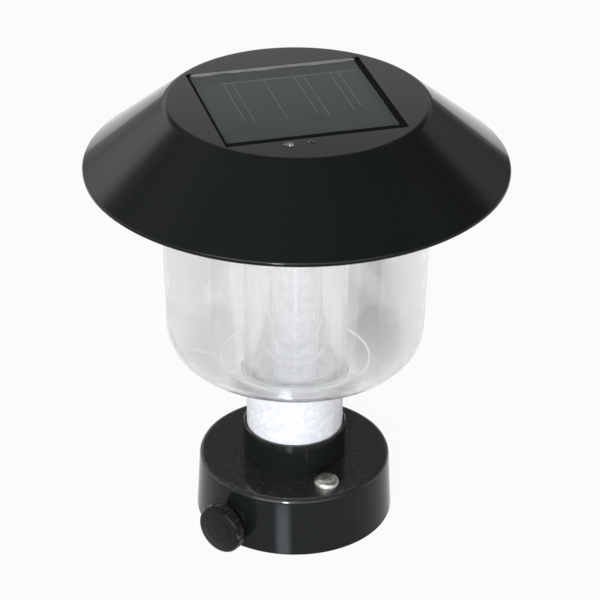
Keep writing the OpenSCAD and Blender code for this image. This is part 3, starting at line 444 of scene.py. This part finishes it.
pad_black = grained_black("pad_black", 1800.0, 3.0, 0.6, (0.02, 0.02, 0.02), (0.045, 0.045, 0.043),
                          rough=0.45, depth=0.00003)
dress(pad_black, "clamp_pad")

# The screw has a rolled thread. It starts behind the tip that turns in the pad, and ends inside the knob
clamp_turn, clamp_height = math.radians(-128.0), 0.0102
screw_start, screw_end, thread_pitch = 0.0371, 0.0455, 0.0008
crest, root_radius, tip_radius = 0.00248, 0.00206, 0.00148
tip_length, tip_straight, tip_chamfer = 0.0008, 0.0006, 0.0002
row_step, steps, flank_gain, flank_drop = 0.0001, 40, 1.3, 0.1
verts, faces = [], []
rows = [(screw_start - tip_length, tip_radius - tip_chamfer), (screw_start - tip_straight, tip_radius),
        (screw_start, tip_radius)]
rows += [(screw_start + row_step * k, None) for k in range(round((screw_end - screw_start) / row_step) + 1)]
for along, radius in rows:
    for i in range(steps):
        angle = 2 * math.pi * i / steps
        wave = abs(2 * ((along / thread_pitch - i / steps) % 1.0) - 1.0)
        flank = min(1.0, max(0.0, flank_gain * wave - flank_drop))
        r = radius or root_radius + (crest - root_radius) * flank
        verts.append((along, r * math.cos(angle), r * math.sin(angle)))
for row in range(len(rows) - 1):
    for i in range(steps):
        j = (i + 1) % steps
        faces.append((row * steps + i, row * steps + j, (row + 1) * steps + j, (row + 1) * steps + i))
faces += [tuple(range(steps)), tuple(range((len(rows) - 1) * steps, len(rows) * steps))]
turn = Matrix.Rotation(clamp_turn, 3, "Z")
verts = [turn @ Vector(v) + Vector((0, 0, clamp_height)) for v in verts]
thread = add_piece("clamp_screw_thread", stainless, "clamp_knob", verts, faces, smooth_angle=25.0)
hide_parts("clamp_screw")
dress(stainless, "clamp_screw")


# ---- Bowl, diffuser and rim seal ----
# The bowl is one clear moulding, slightly grey, with a spigot in the neck and three lugs at its rim. A clear
# tube with fine upright ribs stands on its floor as the diffuser, and a pale rubber ring lies on its rim.

def smears(place):
    """Faint upright smears on clear plastic."""
    return noise(stretch(place, (34.0, 34.0, 16.0)), 1.0, 4.0, 0.6)


def clear_plastic(name, low, high, rough, ripple_scale, ripple_depth, more=()):
    """Clear moulded plastic: faint smears, and a slow ripple from the mould."""
    material, shader, place = plastic(name, {"IOR": 1.49, "Transmission Weight": 1.0, **dict(more)})
    smear = smears(place)
    fill(shader, {
        "Base Color": blend(smear, low, high),
        "Roughness": rough * (0.5 + smear),
        "Normal": bump(noise(place, ripple_scale), ripple_depth),
    })
    return material


bowl_clear = clear_plastic("bowl_clear", (0.78, 0.80, 0.785), (0.98, 0.98, 0.975), rough=0.03,
                           ripple_scale=26.0, ripple_depth=0.00012, more={"Alpha": 0.76})
dress(bowl_clear, "lens_bowl")
# The diffuser glows faintly with painted light
diffuser_clear = clear_plastic("diffuser_clear", (0.93, 0.90, 0.90), (0.98, 0.96, 0.96), rough=0.05,
                               ripple_scale=60.0, ripple_depth=0.00005,
                               more={"Transmission Weight": 0.9, "Alpha": 0.38, "Emission Strength": 0.045,
                                     "Emission Color": (1.0, 0.96, 0.95)})
dress(diffuser_clear, "diffuser_tube")
pale_seal = rubber("pale_seal", pale_dark, pale_light, rough=0.5)
dress(pale_seal, "rim_seal")

# A low bead is moulded round on the bowl's sloping floor. It glows with painted light, which draws it as a
# bright ring
bead_ring_radius, bead_wire, bead_rise, bead_steps = 0.0290, 0.00045, 0.0003, 12
floor_flat_radius, floor_slope = 0.02124, math.radians(27.0)
floor_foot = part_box("foot_reflector")[0][2]
bead_up = floor_foot + (bead_ring_radius - floor_flat_radius) * math.tan(floor_slope) + bead_rise
bead_angles = [math.pi * k / (bead_steps / 2) for k in range(bead_steps)]
bead_profile = [(bead_ring_radius + bead_wire * math.cos(angle), bead_up + bead_wire * math.sin(angle))
                for angle in bead_angles]
bead_clear = clear_plastic("bead_clear", (0.90, 0.90, 0.90), (0.97, 0.97, 0.97), rough=0.2,
                           ripple_scale=300.0, ripple_depth=0.00001,
                           more={"Transmission Weight": 0.6, "Alpha": 0.85, "Emission Strength": 0.25,
                                 "Emission Color": (1.0, 1.0, 1.0)})
floor_bead = add_piece("bowl_floor_bead", bead_clear, "base", *turned(bead_profile))


# ---- Roof, panel and sensor ----
# The roof is a black gloss moulding. The solar panel lies nearly flush in a pocket in its flat top: dark cell
# strips with silver ribbons between a backing board and a clear plate, on a foam frame.

roof_black = black_gloss("roof_black", tint=(0.0060, 0.0077, 0.0073), dust_share=0.03, level=0.10,
                         polish=0.47)
dress(roof_black, "roof_shell")
dress(black_rubber, "panel_seal")

cell_dark, shader, place = plastic("cell_dark", {"IOR": 1.5, "Specular IOR Level": 0.1})
crystals = place.node("TexVoronoi", {"feature": "F1"}, {"Vector": place, "Scale": 260.0}, out="Color")
crystal = crystals.axis("X")
fingers = place.node("TexWave", {"wave_type": "BANDS", "bands_direction": "X"},
                     {"Vector": place, "Scale": 300.0})
line = ramp(fingers.axis("X"), 0.93, 0.99)
fill(shader, {
    "Base Color": blend(0.10 * line, blend(crystal, (0.016, 0.019, 0.019), (0.020, 0.024, 0.023)),
                        (0.30, 0.31, 0.32)),
    "Roughness": 0.30 + 0.06 * crystal,
    "Normal": bump(line, 0.00001),
})
dress(cell_dark, "solar_cells")

# The ribbons are fired silver paste, matt and broken into fine grains
ribbon_silver, shader, place = plastic("ribbon_silver", {"IOR": 1.5, "Specular IOR Level": 0.15})
paste = noise(stretch(place, (2600.0, 700.0, 400.0)), 1.0, 4.0, 0.7)
fill(shader, {
    "Base Color": blend(paste, (0.09, 0.096, 0.09), (0.23, 0.235, 0.22)),
    "Roughness": 0.45 + 0.2 * paste,
    "Normal": bump(paste, 0.00003),
})
dress(ribbon_silver, "cell_ribbons")

backing_dark, shader, place = plastic("backing_dark", {"IOR": 1.5})
weave = place.node("TexBrick", {"offset": 0.5}, {"Vector": place, "Scale": 900.0, "Mortar Size": 0.04},
                   out="Fac")
fill(shader, {
    "Base Color": blend(weave, (0.035, 0.038, 0.038), (0.055, 0.058, 0.056)),
    "Roughness": 0.4 + 0.15 * noise(place, 500.0),
    "Normal": bump(weave, 0.00001),
})
dress(backing_dark, "panel_board")

# The plate is clear, with a gloss on its outer side that grows towards a grazing view
panel_clear = bpy.data.materials.new("panel_clear")
panel_clear.use_nodes = True
panel_clear.node_tree.nodes.clear()
tree = Wire(panel_clear.node_tree)
place = tree.node("TexCoord", out="Object")
smear = noise(stretch(place, (25.0, 60.0, 10.0)), 1.0, 5.0, 0.6)
gloss = tree.node("BsdfGlossy", {"distribution": "GGX"},
                  {"Color": (0.9, 1.0, 0.96), "Roughness": 0.03 + 0.10 * smear,
                   "Normal": bump(noise(place, 80.0), 0.00001)})
clear = tree.node("BsdfTransparent", (), {"Color": (0.90, 0.93, 0.92)})
facing = tree.node("LayerWeight", (), {"Blend": 0.5}, out="Facing")
outer = 1 - tree.node("NewGeometry", out="Backfacing")
mirror = (0.04 + 0.96 * facing.math("POWER", facing, 5.0)) * outer
tree.node("OutputMaterial", (), {"Surface": tree.node("MixShader", (), {"Fac": mirror, 1: clear, 2: gloss})})
dress(panel_clear, "panel_glass")

panel_turn, panel_shift = math.radians(15.6), Vector((-0.0009, 0, 0))
glass_top, roof_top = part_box("panel_glass")[1][2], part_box("roof_shell")[1][2]


def on_panel(across, back, up):
    """A point given along the panel's own sides, turned and moved to where the panel lies."""
    return Matrix.Rotation(panel_turn, 3, "Z") @ Vector((across, back, 0)) + panel_shift + Vector((0, 0, up))


# A thin bead of clear sealant closes the gap along the panel's back edge. Its front edge wanders a little,
# its ends are rounded, and a keel under it reaches down into the gap.
bead_half, bead_front, bead_back, bead_end = 0.0322, 0.0298, 0.0322, 0.0012
slow_wander, quick_wander, end_width = 0.00022, 0.00012, 0.4
keel_back, keel_front, keel_reach = 0.0009, 0.0004, 0.2
stations, around = 60, 10
verts, faces = [], []
for i in range(stations + 1):
    along = -bead_half + 2 * bead_half * i / stations
    end = min(1.0, (bead_half - abs(along)) / bead_end) ** 0.5
    front_edge = bead_front + slow_wander * math.sin(along * 260) + quick_wander * math.sin(along * 610 + 1)
    middle = (front_edge + bead_back) / 2
    half = (bead_back - front_edge) / 2 * (end_width + (1 - end_width) * end)
    ring = [(middle - half * math.cos(math.pi * k / around),
             glass_top + (roof_top - glass_top) * end * math.sin(math.pi * k / around) ** 0.5)
            for k in range(around + 1)]
    ring += [(middle + half, glass_top - keel_back), (middle - half * keel_reach, glass_top - keel_front)]
    verts += [on_panel(along, back, up) for back, up in ring]
size = around + 3
for i in range(stations):
    faces += [(i * size + k, i * size + (k + 1) % size, (i + 1) * size + (k + 1) % size, (i + 1) * size + k)
              for k in range(size)]
faces += [tuple(range(size)), tuple(range(stations * size, (stations + 1) * size))]

sealant, shader, place = plastic("sealant", {"IOR": 1.42})
milk = noise(place, 240.0, 4.0)
fill(shader, {
    "Base Color": blend(milk, (0.20, 0.205, 0.196), (0.46, 0.46, 0.44)),
    "Roughness": 0.12 + 0.2 * milk,
    "Normal": bump(milk, 0.00004),
})
back_bead = add_piece("panel_back_bead", sealant, "head", verts, faces)

# A black rubber gasket fills the gap on the other three sides and laps over the plate's bevel
pocket_x, pocket_y, gasket_low, gasket_high = 0.034, 0.03225, glass_top - 0.0012, glass_top + 0.00008
inner_left, inner_right, inner_front = -0.0329, 0.0319, -0.0291
gasket_outline = [(-pocket_x, bead_front), (-pocket_x, -pocket_y), (pocket_x, -pocket_y),
                  (pocket_x, bead_front), (inner_right, bead_front), (inner_right, inner_front),
                  (inner_left, inner_front), (inner_left, bead_front)]
verts = [on_panel(x, y, z) for z in (gasket_low, gasket_high) for x, y in gasket_outline]
faces = [(0, 1, 6, 7), (1, 2, 5, 6), (2, 3, 4, 5), (15, 14, 9, 8), (14, 13, 10, 9), (13, 12, 11, 10)]
faces += [(k, (k + 1) % 8, (k + 1) % 8 + 8, k + 8) for k in range(8)]
gasket_black = rubber("gasket_black", (0.006, 0.007, 0.007), (0.012, 0.013, 0.013), rough=0.8, shine=0.1)
gasket = add_piece("panel_gasket", gasket_black, "head", verts, faces)
rounding = gasket.modifiers.new("rounding", "BEVEL")
rounding.width, rounding.segments, rounding.limit_method = 0.00012, 3, "ANGLE"

window_clear = clear_plastic("window_clear", (0.22, 0.22, 0.21), (0.36, 0.36, 0.34), rough=0.2,
                             ripple_scale=300.0, ripple_depth=0.00002)
dress(window_clear, "sensor_window", "indicator_lens")


def insulation(name, colour):
    """Coloured wire covering: satin, with a fine draw line."""
    material, shader, place = plastic(name, {"IOR": 1.5})
    drawn = noise(place, 900.0, 3.0)
    fill(shader, {
        "Base Color": blend(drawn, [0.75 * c for c in colour], colour),
        "Roughness": 0.32 + 0.15 * drawn,
        "Normal": bump(drawn, 0.00001),
    })
    return material


dress(insulation("red_wire", (0.42, 0.02, 0.02)), "panel_leads")
dress(insulation("yellow_wire", (0.62, 0.50, 0.06)), "sensor_leads")

sensor_tan, shader, place = plastic("sensor_tan", {"IOR": 1.55})
track = place.node("TexWave", {"wave_type": "BANDS", "bands_direction": "X"},
                   {"Vector": place, "Scale": 420.0, "Distortion": 6.0, "Detail": 1.0})
fill(shader, {
    "Base Color": blend(track.axis("X"), (0.16, 0.09, 0.05), (0.30, 0.26, 0.20)),
    "Roughness": 0.4 + 0.2 * noise(place, 1200.0),
})
dress(sensor_tan, "sensor_element")


# ---- Tray, battery, board and switch ----
# A satin white tray closes the roof from below. It carries the light pipe, the cell box with its door, the
# lamp board on standoffs and the slide switch.

tray_white, shader, place = plastic("tray_white", {"IOR": 1.5})
grain = noise(place, 1500.0, 4.0, 0.6)
fill(shader, {
    "Base Color": blend(noise(place, 25.0, 4.0), (0.74, 0.74, 0.72), (0.83, 0.83, 0.82)),
    "Roughness": 0.32 + 0.14 * grain,
    "Normal": bump(grain, 0.00001),
})
dress(tray_white, "light_tray", "battery_door")

zinc = bright_metal("zinc", (0.42, 0.42, 0.43), (0.66, 0.67, 0.70), (1200.0, 1200.0, 3000.0))
dress(zinc, "tray_screws", "board_screws", "door_screw")
nickel = bright_metal("nickel", (0.56, 0.53, 0.47), (0.76, 0.73, 0.67), (500.0, 2600.0, 2600.0))
dress(nickel, "positive_contact", "negative_contact")

board_green, shader, place = plastic("board_green", {"IOR": 1.5})
lane = place.node("TexVoronoi", {"feature": "DISTANCE_TO_EDGE"}, {"Vector": place, "Scale": 190.0},
                  out="Distance")
copper = 1 - ramp(lane, 0.06, 0.10)
fill(shader, {
    "Base Color": blend(copper, (0.015, 0.11, 0.045), (0.05, 0.21, 0.08)),
    "Roughness": 0.30 + 0.1 * noise(place, 800.0),
    "Normal": bump(copper, 0.00003),
})
dress(board_green, "circuit_board")

part_black = grained_black("part_black", 3000.0, 2.0, 0.5, (0.018, 0.018, 0.018), (0.04, 0.04, 0.04),
                           rough=0.4, depth=0.00001)
dress(part_black, "board_parts")

switch_black, shader, place = plastic("switch_black", {"IOR": 1.5, "Specular IOR Level": 0.45})
grain = noise(place, 2200.0, 3.0, 0.65)
cloud = noise(place, 30.0, 4.0)
fill(shader, {
    "Base Color": blend(cloud, (0.018, 0.019, 0.019), (0.030, 0.031, 0.030)),
    "Roughness": 0.30 + 0.12 * grain + 0.08 * cloud,
    "Normal": bump(grain, 0.00001),
})
dress(switch_black, "switch_body")
dress(insulation("blue_wire", (0.02, 0.04, 0.30)), "switch_leads")

slider_grey, shader, place = plastic("slider_grey", {"IOR": 1.5})
grip = place.node("TexWave", {"wave_type": "BANDS", "bands_direction": "X"},
                  {"Vector": place, "Scale": 450.0})
ridge = grip.axis("X")
fill(shader, {
    # The grooves between the grip ridges are painted darker, as painted shade
    "Base Color": blend(ridge, (0.55, 0.55, 0.53), (0.72, 0.72, 0.70)),
    "Roughness": 0.4 + 0.1 * ridge,
    "Normal": bump(ridge, 0.0001),
})
dress(slider_grey, "switch_slider")

# The cell's green sleeve has one pale band
band_start, band_end = 0.013, 0.019
cell_green, shader, place = plastic("cell_green", {"IOR": 1.5})
along = place.axis("X")
band = (along > band_start) * (along < band_end)
shrink = noise(stretch(place, (120.0, 900.0, 900.0)), 1.0, 3.0)
sleeve = blend(band, (0.03, 0.20, 0.07), (0.55, 0.56, 0.52))
fill(shader, {
    "Base Color": blend(0.3 * shrink, sleeve, (0.02, 0.10, 0.04)),
    "Roughness": 0.18 + 0.12 * shrink,
    "Normal": bump(shrink, 0.00003),
})
dress(cell_green, "battery_cell")

lamp_clear = clear_plastic("lamp_clear", (0.92, 0.90, 0.72), (0.97, 0.96, 0.88), rough=0.06,
                           ripple_scale=400.0, ripple_depth=0.00001,
                           more={"Emission Strength": 0.5, "Emission Color": (0.86, 0.92, 1.0)})
dress(lamp_clear, "leds")


# ---- Light pipe and its disc ----
# A clear column under the two lamps. Prism steps all the way down throw the light outwards, and a groove at
# front and back splits them in two rows.

# The pipe glows faintly with painted light
pipe_clear, shader, place = plastic("pipe_clear", {"IOR": 1.49, "Transmission Weight": 1.0, "Alpha": 0.95,
                                                   "Emission Strength": 0.10})
# The steps' upper faces are painted lit and their lower faces are painted in bluish, dark shade; colour and
# glow both follow this painted light
painted_step_light = ramp(facing_up(place), -0.5, 0.1)
fill(shader, {
    "Base Color": blend(painted_step_light, (0.42, 0.46, 0.60), (0.985, 0.99, 0.995)),
    "Roughness": 0.02 * (0.5 + smears(place)),
    "Emission Color": blend(painted_step_light, (0.10, 0.13, 0.22), (0.95, 0.97, 1.0)),
    "Normal": bump(noise(place, 120.0), 0.00002),
})
dress(pipe_clear, "light_pipe")

# A white disc lies on the bowl's floor. It glows with painted light: a painted pool of the pipe's light,
# brightest in its middle and fading to its edge
painted_pool_middle, painted_pool_edge = 0.004, 0.016
disc_white, shader, place = plastic("disc_white", {"IOR": 1.5, "Emission Strength": 0.42})
radius = place.node("VectorMath", {"operation": "LENGTH"}, {0: stretch(place, (1.0, 1.0, 0.0))}, out="Value")
painted_light_pool = 1 - ramp(radius, painted_pool_middle, painted_pool_edge)
grain = noise(place, 900.0, 4.0, 0.6)
fill(shader, {
    "Base Color": blend(grain, pale_dark, pale_light),
    "Roughness": 0.34 + 0.12 * grain,
    "Emission Color": blend(painted_light_pool, (0.62, 0.64, 0.70), (0.86, 0.92, 1.0)),
    "Normal": bump(grain, 0.00002),
})
dress(disc_white, "foot_reflector")
